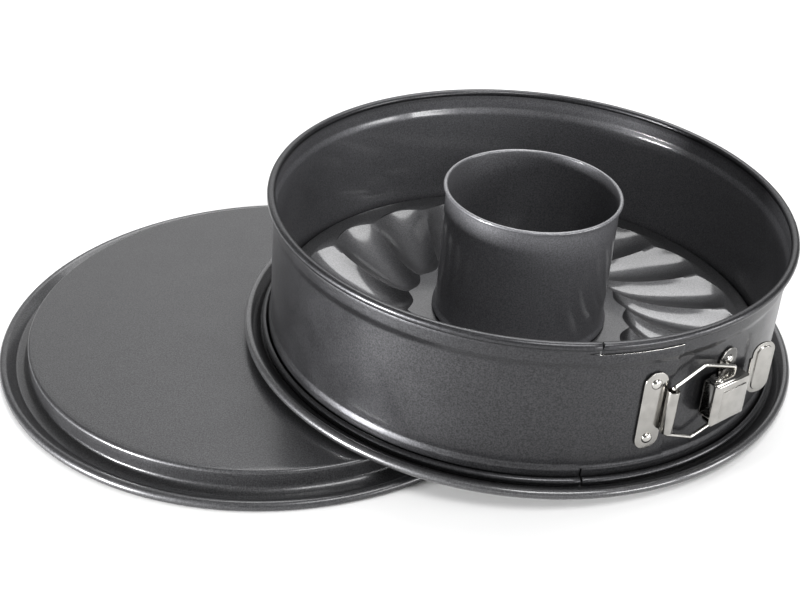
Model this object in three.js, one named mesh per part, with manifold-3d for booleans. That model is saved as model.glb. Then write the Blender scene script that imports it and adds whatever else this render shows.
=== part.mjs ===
// Springform tube pan with its spare flat base: a sprung ring with a wire latch stands in the
// channel of a fluted base with a centre tube, and leans on the flat base lying beside it.
// Millimetres, +Z up. Angles round the pan run in degrees from its front (-Y) towards +X.

import * as THREE from 'three';
import { mergeVertices } from 'three/addons/utils/BufferGeometryUtils.js';
import Module from 'manifold-3d';

const wasm = await Module();
wasm.setup();

// Sheet and fits
const baseSheet = 0.7;
const bandSheet = 0.6;
const latchSheet = 0.9;
const clearance = 0.3;
const foldGap = 0.5;

// Ring
const ringBore = 260;
const ringHeight = 78;
const beadRadius = 2.1;
const beadWrap = 275;
const collarStep = 1.2;
const collarHeight = 6.6;
const collarTaper = 3.4;
const footStep = 0.9;
const footHeight = 7.5;
const footTaper = 2.5;
const ringSides = 48;

// Seam of the ring: the left end laps over the right end
const seamAngle = 9;
const seamGap = 0.9;
const lapEndAngle = 26.9;
const lapTopDrop = 1.8;
const lapFoot = 1.4;
const jogAngle = 2.2;

// Bases
const plateHeight = 12.1;
const plateCorner = 1.0;
const channelWidth = 6.4;
const channelFillet = 1.4;
const rimRadius = 144.2;
const rimRoll = 2.3;
const rimLift = 0.3;
const rimWrap = 300;
const flatSides = 56;

// Flutes of the tube base
const fluteCount = 20;
const fluteSides = 4;
const fluteOuter = 114;
const fluteInner = 59;
const fluteOuterBulge = 5.4;
const fluteInnerBulge = 3.5;
const ridgeDepth = 5.4;
const valleyDepth = 8.9;
const swirlRadius = 34.5;
const fluteTurn = 6.7;
const fluteRuns = [0, 0.08, 0.25, 0.55, 0.85, 1];

// Centre tube
const tubeBore = 87.2;
const tubeHeight = 84;
const tubeBead = 1.0;
const tubeFoot = 1.6;
const tubeFootHeight = 3;
const tubeFlange = 3.4;
const tubeSides = 36;

// Latch
const latchHeight = 38.6;
const plateWidth = 12.3;
const plateLength = 42.3;
const rivetSpacing = 30;
const rivetRadius = 1.5;
const rivetHeadRadius = 2.7;
const rivetHeadHeight = 1.5;
const bailPlateAngle = 21.9;
const bracketAngle = 41;
const leverAngle = 38;
const eyeAngle = 25.4;
const eyeStandOff = 4.5;
const eyeBore = 5.0;
const eyeSheet = 0.7;
const eyeHeight = 23;
const eyeWrap = 300;
const wireRadius = 1.0;
const bailLeg = 26;
const bailWidth = 40.6;
const bailCornerAt = 0.46;
const bailEnd = 27;
const hookAngle = 41;
const hookStandOff = 5.2;
const hookReach = 8.6;

// Lever and its pivot
const pivotAngle = 35.9;
const pivotStandOff = 6.6;
const pinRadius = 1.5;
const pinHeadRadius = 2.2;
const pinHead = 0.7;
const earRadius = 2.9;
const earSheet = 1.0;
const leverHeight = 22.1;
const leverFace = 11.2;
const leverLeft = -10;
const leverRight = 11.3;
const cheekRadius = 4.7;
const neckHeight = 13;
const tabStart = 28.5;
const tabEnd = 41;
const tabHeight = 28.6;
const tabCorner = 6;
const tabStandOff = -0.9;
const tabFlare = 2.5;
const embossHeight = 0.4;
const embossMargin = 3.2;

// Resting place: the pan's rim stands on the table and its underside leans on the flat base
const baseSpacing = 128.5;
const restGap = 0.4;

const degree = Math.PI / 180;
const boreRadius = ringBore / 2;
const wallOuter = boreRadius + bandSheet;
const lapInner = boreRadius + bandSheet + clearance;
const lapOuter = lapInner + bandSheet;
const plateEdge = boreRadius - clearance - foldGap;
const channelInner = plateEdge + channelFillet;
const channelOuter = channelInner + channelWidth;
const lowBead = baseSheet + clearance + beadRadius;
const highBead = lowBead + ringHeight - 2 * beadRadius;
const wallBottom = baseSheet + footHeight + footTaper;
const wallTop = highBead - 1.2 * beadRadius;
const tubeOuter = tubeBore / 2 + baseSheet;
const platedFace = clearance + latchSheet;

const coating = { color: 0x4a4a4d, roughness: 0.42, metalness: 0.55 };
const plating = { color: 0xc9c6bf, roughness: 0.26, metalness: 1.0 };

// Merges shared vertices and drops the slivers left where a profile meets its axis
function closed(geometry) {
  geometry.deleteAttribute('normal');
  geometry.deleteAttribute('uv');
  const merged = mergeVertices(geometry);
  const index = merged.index.array;
  const kept = [];
  for (let i = 0; i < index.length; i += 3) {
    const [a, b, c] = [index[i], index[i + 1], index[i + 2]];
    if (a !== b && b !== c && c !== a) kept.push(a, b, c);
  }
  merged.setIndex(kept);
  return merged;
}

function solid(geometry) {
  const shape = closed(geometry);
  const vertProperties = new Float32Array(shape.attributes.position.array);
  const triVerts = new Uint32Array(shape.index.array);
  return new wasm.Manifold(new wasm.Mesh({ numProp: 3, vertProperties, triVerts }));
}

function joined(solids) {
  return solids.reduce((all, next) => all.add(next));
}

function fromSolid(body) {
  const mesh = body.getMesh();
  const geometry = new THREE.BufferGeometry();
  geometry.setAttribute('position', new THREE.BufferAttribute(mesh.vertProperties, 3));
  geometry.setIndex(new THREE.BufferAttribute(mesh.triVerts, 1));
  geometry.computeVertexNormals();
  return geometry;
}

function piece(name, geometry, look) {
  geometry.computeVertexNormals();
  const mesh = new THREE.Mesh(geometry, new THREE.MeshStandardMaterial(look));
  mesh.name = name;
  return mesh;
}

function point(x, y) {
  return new THREE.Vector2(x, y);
}

// Points on an arc, from one angle to another in degrees
function arc(centre, radius, from, to, steps) {
  return Array.from({ length: steps + 1 }, (unused, i) => {
    const angle = (from + ((to - from) * i) / steps) * degree;
    return point(centre.x + radius * Math.cos(angle), centre.y + radius * Math.sin(angle));
  });
}

// A sheet's section: its path along one face, with the other face to the right of the path
function sheetSection(path, thickness) {
  const back = path.map((here, i) => {
    const before = path[Math.max(i - 1, 0)];
    const after = path[Math.min(i + 1, path.length - 1)];
    const into = here.clone().sub(before);
    const out = after.clone().sub(here);
    if (into.length() === 0) into.copy(out);
    if (out.length() === 0) out.copy(into);
    const along = into.normalize().clone().add(out.normalize()).normalize();
    const offset = thickness / Math.max(0.5, along.dot(into));
    return point(here.x + along.y * offset, here.y - along.x * offset);
  });
  return [...path, ...back.reverse()];
}

// Turns a closed section round the pan's axis
function turned(section, sides) {
  const loop = THREE.ShapeUtils.area(section) < 0 ? [...section].reverse() : section;
  const geometry = new THREE.LatheGeometry([...loop, loop[0]], sides);
  return geometry.rotateX(Math.PI / 2);
}

// A wedge of the whole pan between two angles
function sector(from, to) {
  const reach = 2 * rimRadius;
  const steps = Math.ceil((to - from) / 20);
  const rim = arc(point(0, 0), reach, from - 90, to - 90, steps);
  const geometry = new THREE.ExtrudeGeometry(new THREE.Shape([point(0, 0), ...rim]), {
    depth: 2 * ringHeight,
    bevelEnabled: false,
  });
  return solid(geometry.translate(0, 0, -ringHeight / 2));
}

// Channel and rolled rim shared by both bases, along the sheet's upper face from the plate's edge
function rimPath() {
  const roll = point(rimRadius - rimRoll, rimLift + rimRoll);
  const edge = point(plateEdge - plateCorner, plateHeight - plateCorner);
  const rise = point(roll.x - rimRoll, roll.y - rimRoll / 4);
  return [
    ...arc(edge, plateCorner, 90, 0, 1),
    point(plateEdge, baseSheet + channelFillet / 2),
    point(channelInner, baseSheet),
    point(channelOuter, baseSheet),
    rise,
    ...arc(roll, rimRoll, 180, 180 - rimWrap, 6),
  ];
}

function flatBase() {
  const path = [point(0, plateHeight), ...rimPath()];
  const section = sheetSection(path, baseSheet);
  const loop = THREE.ShapeUtils.area(section) < 0 ? section.reverse() : section;
  return closed(new THREE.LatheGeometry(loop, flatSides).rotateX(Math.PI / 2));
}

// Turn of a straight groove that stays tangent to the swirl circle, measured from the flutes' ends
function swirl(radius) {
  return Math.acos(swirlRadius / fluteOuter) - Math.acos(swirlRadius / radius);
}

// Share of the full depth along a flute, from its inner end (0) to its outer end (1)
function scoop(run, inner, outer) {
  return (1 - (1 - run) ** inner) * (1 - run ** outer);
}

// Moves a vertex of the flat plate into its flute
function fluted(vertex) {
  const radius = Math.hypot(vertex.x, vertex.y);
  if (radius > fluteOuter + 0.01) return;
  const turn = Math.atan2(vertex.x, -vertex.y);
  const across = (((turn / degree) * fluteCount) / 360 + fluteCount + 0.001) % 1;
  const bulge = Math.sin(Math.PI * across);
  const run = Math.max(0, (radius - fluteInner) / (fluteOuter - fluteInner));
  const start = fluteInner - fluteInnerBulge * bulge;
  const end = fluteOuter + fluteOuterBulge * bulge;
  const inFlutes = radius > fluteInner - 0.01;
  const reach = inFlutes ? start + run * (end - start) : radius;
  const angle = turn + fluteTurn * degree + swirl(Math.max(reach, fluteInner));
  const hollow = 1 - (2 * across - 1) ** 2;
  const ridge = ridgeDepth * scoop(run, 6, 3);
  const valley = valleyDepth * scoop(run, 8, 4);
  vertex.x = reach * Math.sin(angle);
  vertex.y = -reach * Math.cos(angle);
  vertex.z -= ridge + (valley - ridge) * hollow;
}

function tubeBase() {
  const rows = fluteRuns.map((run) => point(fluteInner + run * (fluteOuter - fluteInner), plateHeight));
  const path = [point(tubeOuter + clearance, plateHeight), ...rows, ...rimPath()];
  const geometry = turned(sheetSection(path, baseSheet), fluteCount * fluteSides);
  const positions = geometry.attributes.position;
  const vertex = new THREE.Vector3();
  for (let i = 0; i < positions.count; i += 1) {
    vertex.fromBufferAttribute(positions, i);
    fluted(vertex);
    positions.setXYZ(i, vertex.x, vertex.y, vertex.z);
  }
  return closed(geometry);
}

// Along the tube's inner face: flange under the plate, foot bead over it, wall, rolled top edge
function centreTube() {
  const inner = tubeBore / 2;
  const flange = plateHeight - 2 * baseSheet - clearance;
  const foot = plateHeight + clearance + baseSheet;
  const bead = point(inner + tubeBead, tubeHeight - tubeBead);
  const path = [
    point(inner + tubeFlange, flange),
    point(inner, flange),
    point(inner, foot - baseSheet / 2),
    point(inner + tubeFoot, foot),
    point(inner + tubeFoot, foot + tubeFootHeight / 3),
    point(inner, foot + tubeFootHeight),
    ...arc(bead, tubeBead, 180, 180 - beadWrap, 6),
  ];
  return closed(turned(sheetSection(path, baseSheet), tubeSides));
}

// Wall of the ring between its two rolled edges, along a face that stands out from its bore
function wallPath(outset, bottom, top) {
  const inner = boreRadius + outset;
  const collar = inner + collarStep;
  return [
    point(inner, bottom),
    point(inner, wallTop - collarHeight - collarTaper),
    point(collar, wallTop - collarHeight),
    point(collar, top),
  ];
}

function ringSection() {
  const low = point(boreRadius + footStep + beadRadius, lowBead);
  const high = point(boreRadius + beadRadius, highBead);
  const path = [
    ...arc(low, beadRadius, beadWrap - 180, -180, 6),
    point(boreRadius + footStep, wallBottom - footTaper),
    ...wallPath(0, wallBottom, wallTop),
    ...arc(high, beadRadius, 210, 210 - beadWrap, 6),
  ];
  return sheetSection(path, bandSheet);
}

// The lapped end has no rolled edges, so it stops short of them
function lapSection(outset, thickness) {
  const foot = point(boreRadius + outset + (footStep * lapFoot) / footTaper, wallBottom - lapFoot);
  return sheetSection([foot, ...wallPath(outset, wallBottom, wallTop - lapTopDrop)], thickness);
}

// A cylinder across the ring's wall at a rivet
function wallHole(angle, offset, radius) {
  const hole = new THREE.CylinderGeometry(radius, radius, 20, 12);
  hole.translate(0, -wallOuter, offset);
  return solid(hole.rotateZ(angle * degree));
}

function cutHoles(body, angle) {
  const holes = [1, -1].map((side) => {
    return wallHole(angle, latchHeight + (side * rivetSpacing) / 2, rivetRadius + clearance);
  });
  return holes.reduce((left, hole) => left.subtract(hole), body);
}

const halfSlit = ((seamGap / 2 / boreRadius) * 180) / Math.PI;
const backAngle = lapEndAngle + 180;

function bandLeft() {
  const ring = solid(turned(ringSection(), ringSides));
  const half = ring.intersect(sector(backAngle - 360 + halfSlit / 2, seamAngle - halfSlit));
  const lap = solid(turned(lapSection(bandSheet + clearance, bandSheet), ringSides));
  const tongue = lap.intersect(sector(seamAngle - jogAngle, lapEndAngle));
  const jog = solid(turned(lapSection(0, 2 * bandSheet + clearance), ringSides));
  const step = jog.intersect(sector(seamAngle - jogAngle, seamAngle - halfSlit));
  return fromSolid(cutHoles(joined([half, tongue, step]), bailPlateAngle));
}

function bandRight() {
  const ring = solid(turned(ringSection(), ringSides));
  const half = ring.intersect(sector(seamAngle + halfSlit, backAngle - halfSlit / 2));
  return fromSolid(cutHoles(half, bracketAngle));
}

// Place of a point round the pan, as (along, out) in the flat frame of a latch piece
function latchPoint(angle, standOff, frameAngle, frameRadius) {
  const turn = (angle - frameAngle) * degree;
  const radius = wallOuter + standOff;
  return point(radius * Math.sin(turn), radius * Math.cos(turn) - frameRadius);
}

// A section in (along, out), drawn out up the pan to a height centred on the latch
function upright(section, height, lift = 0) {
  const shape = section instanceof THREE.Shape ? section : new THREE.Shape(section);
  const geometry = new THREE.ExtrudeGeometry(shape, { depth: height, bevelEnabled: false });
  return solid(geometry.translate(0, 0, -height / 2 - lift).rotateX(Math.PI));
}

// An outline in (along, up), drawn outwards from the wall
function outward(shape, thickness, standOff) {
  const geometry = new THREE.ExtrudeGeometry(shape, {
    depth: thickness,
    bevelEnabled: false,
    curveSegments: 8,
  });
  return solid(geometry.rotateX(Math.PI / 2).translate(0, -standOff, 0));
}

function roundedOutline(left, right, height, corner) {
  const top = height / 2 - corner;
  return new THREE.Shape([
    ...arc(point(right - corner, top), corner, 0, 90, 5),
    ...arc(point(left + corner, top), corner, 90, 180, 5),
    ...arc(point(left + corner, -top), corner, 180, 270, 5),
    ...arc(point(right - corner, -top), corner, 270, 360, 5),
  ]);
}

function boreOut(at, radius, lift) {
  const hole = new THREE.CylinderGeometry(radius, radius, 20, 12);
  return solid(hole.translate(at.x, -at.y, lift));
}

function boreUp(at, radius) {
  const hole = new THREE.CylinderGeometry(radius, radius, 4 * leverHeight, 12);
  return solid(hole.rotateX(Math.PI / 2).translate(at.x, -at.y, 0));
}

// Oblong plate with its two rivet holes
function latchPlate() {
  const corner = plateWidth / 2;
  const outline = roundedOutline(-corner, corner, plateLength, corner - 0.01);
  const plate = outward(outline, latchSheet, clearance);
  return [1, -1].reduce((left, side) => {
    return left.subtract(boreOut(point(0, 0), rivetRadius + clearance, (side * rivetSpacing) / 2));
  }, plate);
}

// The plate's tongue runs under the wire's leg and curls back over it
function bailPlate() {
  const eye = latchPoint(eyeAngle, eyeStandOff, bailPlateAngle, lapOuter);
  const outer = eyeBore / 2 + eyeSheet;
  const path = [point(plateWidth / 4, clearance), ...arc(eye, outer, -90, eyeWrap - 90, 12)];
  const curl = upright(sheetSection(path, -eyeSheet), eyeHeight);
  return fromSolid(joined([latchPlate(), curl]));
}

// The plate's floor reaches under the lever and folds up into two ears that carry the pin
function leverBracket() {
  const pin = latchPoint(pivotAngle, pivotStandOff, bracketAngle, wallOuter);
  const earTop = leverHeight / 2 - latchSheet - foldGap;
  const floor = new THREE.BoxGeometry(plateWidth / 2 - pin.x + earRadius, latchSheet, 2 * earTop);
  floor.translate((pin.x - earRadius - plateWidth / 2) / 2, -clearance - latchSheet / 2, 0);
  const side = [
    point(pin.x - earRadius, clearance),
    point(pin.x + earRadius, clearance),
    ...arc(pin, earRadius, 0, 180, 8),
  ];
  const ears = [1, -1].map((end) => upright(side, earSheet, end * (earTop - earSheet / 2)));
  const body = joined([latchPlate(), solid(floor), ...ears]);
  return fromSolid(body.subtract(boreUp(pin, pinRadius + clearance)));
}

// Rivet along the wall's normal: domed outside, with a flat tail or set flush inside
function rivet(headBase, tailEnd, tailHead) {
  const dome = [0, 30, 60].map((angle) => {
    const level = headBase + rivetHeadHeight * Math.sin(angle * degree);
    return point(rivetHeadRadius * Math.cos(angle * degree), -level);
  });
  const tail = [point(rivetRadius, tailEnd), point(0, tailEnd)];
  const tailStart = tailEnd - tailHead;
  const flange = [point(rivetRadius, tailStart), point(rivetHeadRadius, tailStart)];
  if (tailHead > 0) tail.splice(0, 1, ...flange, point(rivetHeadRadius, tailEnd));
  const crown = point(0, -headBase - rivetHeadHeight);
  const section = [crown, ...dome.reverse(), point(rivetRadius, -headBase), ...tail];
  const loop = THREE.ShapeUtils.area(section) < 0 ? section.reverse() : section;
  return closed(new THREE.LatheGeometry(loop, 12));
}

// One straight run of the wire, drawn on past its bends so that the runs knit together
function rod(from, to) {
  const along = to.clone().sub(from);
  const length = along.length() + wireRadius;
  const geometry = new THREE.CylinderGeometry(wireRadius, wireRadius, length, 8);
  const turn = new THREE.Quaternion();
  turn.setFromUnitVectors(new THREE.Vector3(0, 1, 0), along.normalize());
  geometry.applyQuaternion(turn);
  const middle = from.clone().add(to).multiplyScalar(0.5);
  return solid(geometry.translate(middle.x, middle.y, middle.z));
}

// Six-sided wire link: a leg in the eye, two arms that spread and close, ends turned into the lever
function bail() {
  const eye = latchPoint(eyeAngle, eyeStandOff, leverAngle, wallOuter);
  const hook = latchPoint(hookAngle, hookStandOff, leverAngle, wallOuter);
  const place = (share, height) => {
    const at = eye.clone().lerp(hook, share);
    return new THREE.Vector3(at.x, -at.y, height);
  };
  const arm = (side) => [
    place(1, (side * (bailEnd - hookReach)) / 2),
    place(1, (side * bailEnd) / 2),
    place(bailCornerAt, (side * bailWidth) / 2),
    place(0, (side * bailLeg) / 2),
  ];
  const path = [...arm(1), ...arm(-1).reverse()];
  return fromSolid(joined(path.slice(1).map((to, i) => rod(path[i], to))));
}

// The lever's front sheet, seen along the pan: face, neck folded in towards the wall, flared tab
function leverStrip(outset, thickness) {
  const face = leverFace + outset;
  const path = [
    point(leverLeft, face),
    point(leverRight, face),
    point(tabStart, tabStandOff + outset),
    point(tabEnd, tabStandOff + tabFlare + outset),
  ];
  return upright(sheetSection(path, thickness), 2 * tabHeight);
}

function leverCheek(side) {
  const pin = latchPoint(pivotAngle, pivotStandOff, leverAngle, wallOuter);
  const section = [
    point(leverLeft, leverFace),
    ...arc(pin, cheekRadius, 180, 270, 4),
    point(leverRight, pin.y - cheekRadius),
    point(leverRight, leverFace),
  ];
  return upright(section, latchSheet, (side * (leverHeight - latchSheet)) / 2);
}

function lever() {
  const pin = latchPoint(pivotAngle, pivotStandOff, leverAngle, wallOuter);
  const hook = latchPoint(hookAngle, hookStandOff, leverAngle, wallOuter);
  const deep = 2 * tabEnd;
  const face = roundedOutline(leverLeft, leverRight, leverHeight, latchSheet / 2);
  const neck = roundedOutline(leverRight - embossMargin, tabStart + tabCorner, neckHeight, 1);
  const tab = roundedOutline(tabStart, tabEnd, tabHeight, tabCorner);
  const outline = joined([face, neck, tab].map((shape) => outward(shape, deep, -deep / 2)));
  const inset = 2 * embossMargin;
  const faceMark = roundedOutline(leverLeft + embossMargin, leverRight - embossMargin, leverHeight - inset, 1);
  const tabMark = roundedOutline(
    tabStart + embossMargin,
    tabEnd - embossMargin,
    tabHeight - inset,
    tabCorner - embossMargin,
  );
  const marks = joined([faceMark, tabMark].map((shape) => outward(shape, deep, -deep / 2)));
  const sheet = leverStrip(0, latchSheet).intersect(outline);
  const raised = leverStrip(embossHeight, latchSheet).intersect(marks);
  const body = joined([sheet, raised, leverCheek(1), leverCheek(-1)]);
  const drilled = body.subtract(boreUp(pin, pinRadius + clearance));
  return fromSolid(drilled.subtract(boreUp(hook, wireRadius + clearance)));
}

// Pivot pin with a riveted end outside each cheek
function leverPin() {
  const neckEnd = leverHeight / 2 + clearance;
  const half = [point(pinRadius, neckEnd), point(pinHeadRadius, neckEnd)];
  half.push(point(pinHeadRadius, neckEnd + pinHead), point(0, neckEnd + pinHead));
  const mirrored = half.map((at) => point(at.x, -at.y)).reverse();
  const geometry = new THREE.LatheGeometry([...mirrored, ...half], 12);
  const at = latchPoint(pivotAngle, pivotStandOff, bracketAngle, wallOuter);
  return closed(geometry.rotateX(Math.PI / 2).translate(at.x, -at.y, 0));
}

// A flat frame on the ring's wall: x along the wall, -y out from it, z up
function wallFrame(angle, radius, pieces) {
  const frame = new THREE.Group();
  frame.position.set(radius * Math.sin(angle * degree), -radius * Math.cos(angle * degree), latchHeight);
  frame.rotation.z = angle * degree;
  return frame.add(...pieces);
}

function rivetPair(name, headBase, tailEnd, tailHead) {
  return [['upper', 1], ['lower', -1]].map(([place, side]) => {
    const mesh = piece(`${name}_${place}`, rivet(headBase, tailEnd, tailHead), plating);
    mesh.position.z = (side * rivetSpacing) / 2;
    return mesh;
  });
}

function latchGroups() {
  const headBase = platedFace + clearance;
  const flush = lapOuter - lapInner - clearance / 2;
  const tail = bandSheet + 2 * clearance + latchSheet;
  return [
    wallFrame(bailPlateAngle, lapOuter, [
      piece('bail_plate', bailPlate(), plating),
      ...rivetPair('bail_plate_rivet', headBase, flush, 0),
    ]),
    wallFrame(bracketAngle, wallOuter, [
      piece('lever_bracket', leverBracket(), plating),
      piece('lever_pin', leverPin(), plating),
      ...rivetPair('lever_bracket_rivet', headBase, tail, latchSheet),
    ]),
    wallFrame(leverAngle, wallOuter, [
      piece('lever', lever(), plating),
      piece('bail', bail(), plating),
    ]),
  ];
}

// Lean of the pan: from the table under its far rim up to the two points on the flat base's edge
function leanAngle() {
  const edge = plateEdge - plateCorner / 2;
  const crossing = (baseSpacing ** 2 + edge ** 2 - channelInner ** 2) / (2 * baseSpacing);
  const span = channelOuter + baseSpacing - crossing;
  return Math.asin((plateHeight + restGap) / span);
}

function pan() {
  const group = new THREE.Group();
  const lean = leanAngle();
  group.rotation.y = lean;
  group.position.set(baseSpacing / 2, 0, (channelOuter + baseSheet / 4) * Math.sin(lean));
  group.add(
    piece('tube_base', tubeBase(), coating),
    piece('centre_tube', centreTube(), coating),
    piece('band_left', bandLeft(), coating),
    piece('band_right', bandRight(), coating),
    ...latchGroups(),
  );
  return group;
}

const springform = new THREE.Group();
const spare = piece('flat_base', flatBase(), coating);
spare.position.x = -baseSpacing / 2;
springform.add(spare, pan());

export default springform;
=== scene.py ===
import math

import bmesh
import bpy
from mathutils import Matrix, Vector


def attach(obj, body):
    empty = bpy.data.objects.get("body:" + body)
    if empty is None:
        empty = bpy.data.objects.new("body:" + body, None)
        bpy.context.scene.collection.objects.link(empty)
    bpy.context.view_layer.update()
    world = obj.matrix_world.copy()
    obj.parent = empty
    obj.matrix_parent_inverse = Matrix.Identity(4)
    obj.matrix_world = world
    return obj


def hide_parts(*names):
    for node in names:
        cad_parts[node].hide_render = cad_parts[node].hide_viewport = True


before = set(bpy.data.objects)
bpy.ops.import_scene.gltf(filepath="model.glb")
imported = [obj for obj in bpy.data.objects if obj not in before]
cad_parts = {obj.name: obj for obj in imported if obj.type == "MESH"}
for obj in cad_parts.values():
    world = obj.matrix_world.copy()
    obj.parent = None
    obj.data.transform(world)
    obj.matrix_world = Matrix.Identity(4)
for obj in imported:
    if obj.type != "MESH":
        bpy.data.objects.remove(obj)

mm = 0.001
weldGap = 0.004 * mm  # points closer than this become one
near = 0.05  # how close a part lies to the place it is looked for, in mm or degrees
nearer = 0.02  # the same, where parts lie close together
wellIn = 0.1  # how far from an edge a part lies to count as inside it, in mm
facing = 0.5  # how far a normal leans to one side to count as facing it
sheetSmooth, latchSmooth, turnedSmooth, wireSmooth = 32, 35, 38, 40  # degrees, sharper edges stay sharp
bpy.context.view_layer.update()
print("frame loaded:", len(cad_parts), "nodes")

# the pan leans on the rim of the spare base, so everything on it is modelled upright and leaned last
panPose = {"centre": (64.25, 0.0, 8.4398), "lean": 3.5274}


def clearPick():
    if bpy.context.object is not None and bpy.context.object.mode == "EDIT":
        bpy.ops.object.mode_set(mode="OBJECT")
    bpy.ops.object.select_all(action="DESELECT")


def pickPiece(piece):
    clearPick()
    piece.select_set(True)
    bpy.context.view_layer.objects.active = piece


def pickParts(kind, test):  # selects verts, edges or faces by the middle of each, in mm
    bpy.ops.mesh.select_mode(type=kind)
    bpy.ops.mesh.select_all(action="DESELECT")
    sheet = bmesh.from_edit_mesh(bpy.context.object.data)
    if kind == "VERT":
        parts = [(part, part.co) for part in sheet.verts]
    elif kind == "EDGE":
        parts = [(part, (part.verts[0].co + part.verts[1].co) / 2) for part in sheet.edges]
    else:
        parts = [(part, part.calc_center_median()) for part in sheet.faces]
    for part, middle in parts:
        if test(middle / mm):
            part.select_set(True)
    bmesh.update_edit_mesh(bpy.context.object.data)


def pullOut(step):  # extrudes what is selected along a step in mm
    bpy.ops.mesh.extrude_region_move(TRANSFORM_OT_translate={"value": Vector(step) * mm})


def roundPoint(centre, radius, angle):
    turn = math.radians(angle)
    return (centre[0] + radius * math.cos(turn), centre[1] + radius * math.sin(turn))


def roundPath(centre, radius, start, end, steps):
    return [roundPoint(centre, radius, start + (end - start) * i / steps) for i in range(steps + 1)]


def drawLine(name, points):  # one corner of a small plane is drawn out along the points, in mm
    clearPick()
    bpy.ops.mesh.primitive_plane_add(size=mm, location=Vector(points[0]) * mm)
    line = bpy.context.object
    line.name = name
    line.data.name = name
    bpy.ops.object.transform_apply(location=True, rotation=True, scale=True)
    bpy.ops.object.mode_set(mode="EDIT")
    bpy.ops.mesh.select_mode(type="VERT")
    bpy.ops.mesh.select_all(action="SELECT")
    bpy.ops.mesh.merge(type="CENTER")
    for here, there in zip(points, points[1:]):
        step = (Vector(there) - Vector(here)) * mm
        bpy.ops.mesh.extrude_vertices_move(TRANSFORM_OT_translate={"value": step})
    return line


def aroundPan(angle, radius, height):  # angle runs from the front towards the right
    turn = math.radians(angle)
    return (radius * math.sin(turn), -radius * math.cos(turn), height)


def spinSheet(angle, steps):  # spins the drawn section about the upright axis, towards the right
    bpy.ops.mesh.select_all(action="SELECT")
    bpy.ops.mesh.spin(steps=steps, angle=-math.radians(angle), center=(0, 0, 0), axis=(0, 0, 1))
    bpy.ops.mesh.select_all(action="SELECT")
    bpy.ops.mesh.remove_doubles(threshold=weldGap)
    bpy.ops.mesh.normals_make_consistent(inside=False)


def thicken(piece, sheet):
    pickPiece(piece)
    bpy.ops.object.modifier_add(type="SOLIDIFY")
    wall = piece.modifiers[-1]
    wall.thickness = sheet * mm
    wall.offset = 0
    wall.use_even_offset = True
    bpy.ops.object.modifier_apply(modifier=wall.name)


def softenEdges(piece, width, steps, angle):
    pickPiece(piece)
    bpy.ops.object.modifier_add(type="BEVEL")
    edge = piece.modifiers[-1]
    edge.width = width * mm
    edge.segments = steps
    edge.limit_method = "ANGLE"
    edge.angle_limit = math.radians(angle)
    edge.harden_normals = False
    bpy.ops.object.modifier_apply(modifier=edge.name)


def smoothFaces(piece, angle):
    pickPiece(piece)
    bpy.ops.object.shade_smooth_by_angle(angle=math.radians(angle))


def setPlace(piece, location, rotation):  # puts the place into the mesh
    pickPiece(piece)
    piece.location = Vector(location) * mm
    piece.rotation_euler = rotation
    bpy.ops.object.transform_apply(location=True, rotation=True, scale=True)


def leanOnRim(piece):
    setPlace(piece, panPose["centre"], (0, math.radians(panPose["lean"]), 0))


def hangOnWall(piece, angle, radius, height):  # the piece's -Y points out of the wall
    place = aroundPan(angle, radius, height)
    setPlace(piece, place, (0, 0, math.radians(angle)))
    leanOnRim(piece)


def fitPiece(piece, body, node, finish):
    if not piece.data.materials:
        piece.data.materials.append(finish)
    piece.data.materials[0] = finish
    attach(piece, body)
    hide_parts(node)
    print("made", piece.name, "with", len(piece.data.polygons), "faces")


# what the finishes share: the part of the noise they use, the clear skin's IOR, bump heights in metres
finishForm = {
    "coatSpread": (0.36, 0.66), "platingSpread": (0.3, 0.7), "glossSpread": (0.3, 0.7), "skinIor": 1.5,
    "peelHeight": 0.0004, "grainHeight": 0.0001,
}


def addNode(material, kind, place, **values):
    node = material.node_tree.nodes.new(kind)
    node.location = place
    for name, value in values.items():
        node.inputs[name].default_value = value
    return node


def addNoise(material, height, scale, detail, roughness):
    place = (-950, height)
    return addNode(material, "ShaderNodeTexNoise", place, Scale=scale, Detail=detail, Roughness=roughness)


def addBump(material, across, source, strength, distance):
    bump = addNode(material, "ShaderNodeBump", (across, -350), Strength=strength, Distance=distance)
    material.node_tree.links.new(source.outputs["Fac"], bump.inputs["Height"])
    return bump


def addTone(material, source, spread, finish):  # colour from the finish's dark to its light
    tone = addNode(material, "ShaderNodeValToRGB", (-650, 250))
    colours = (finish["dark"], finish["light"])
    for step, position, colour in zip(tone.color_ramp.elements, spread, colours):
        step.position = position
        step.color = (*colour, 1)
    links = material.node_tree.links
    links.new(source.outputs["Fac"], tone.inputs["Fac"])
    links.new(tone.outputs["Color"], material.node_tree.nodes["Principled BSDF"].inputs["Base Color"])


def addGloss(material, source, finish):  # roughness from the finish's low to its high
    gloss = addNode(material, "ShaderNodeMapRange", (-650, -100))
    names = ("From Min", "From Max", "To Min", "To Max")
    for name, value in zip(names, (*finishForm["glossSpread"], *finish["gloss"])):
        gloss.inputs[name].default_value = value
    links = material.node_tree.links
    links.new(source.outputs["Fac"], gloss.inputs["Value"])
    links.new(gloss.outputs["Result"], material.node_tree.nodes["Principled BSDF"].inputs["Roughness"])


def startFinish(name, metallic):
    material = bpy.data.materials.new(name)
    material.use_nodes = True
    surface = material.node_tree.nodes["Principled BSDF"]
    surface.inputs["Metallic"].default_value = metallic
    return material, surface, material.node_tree.links


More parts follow.
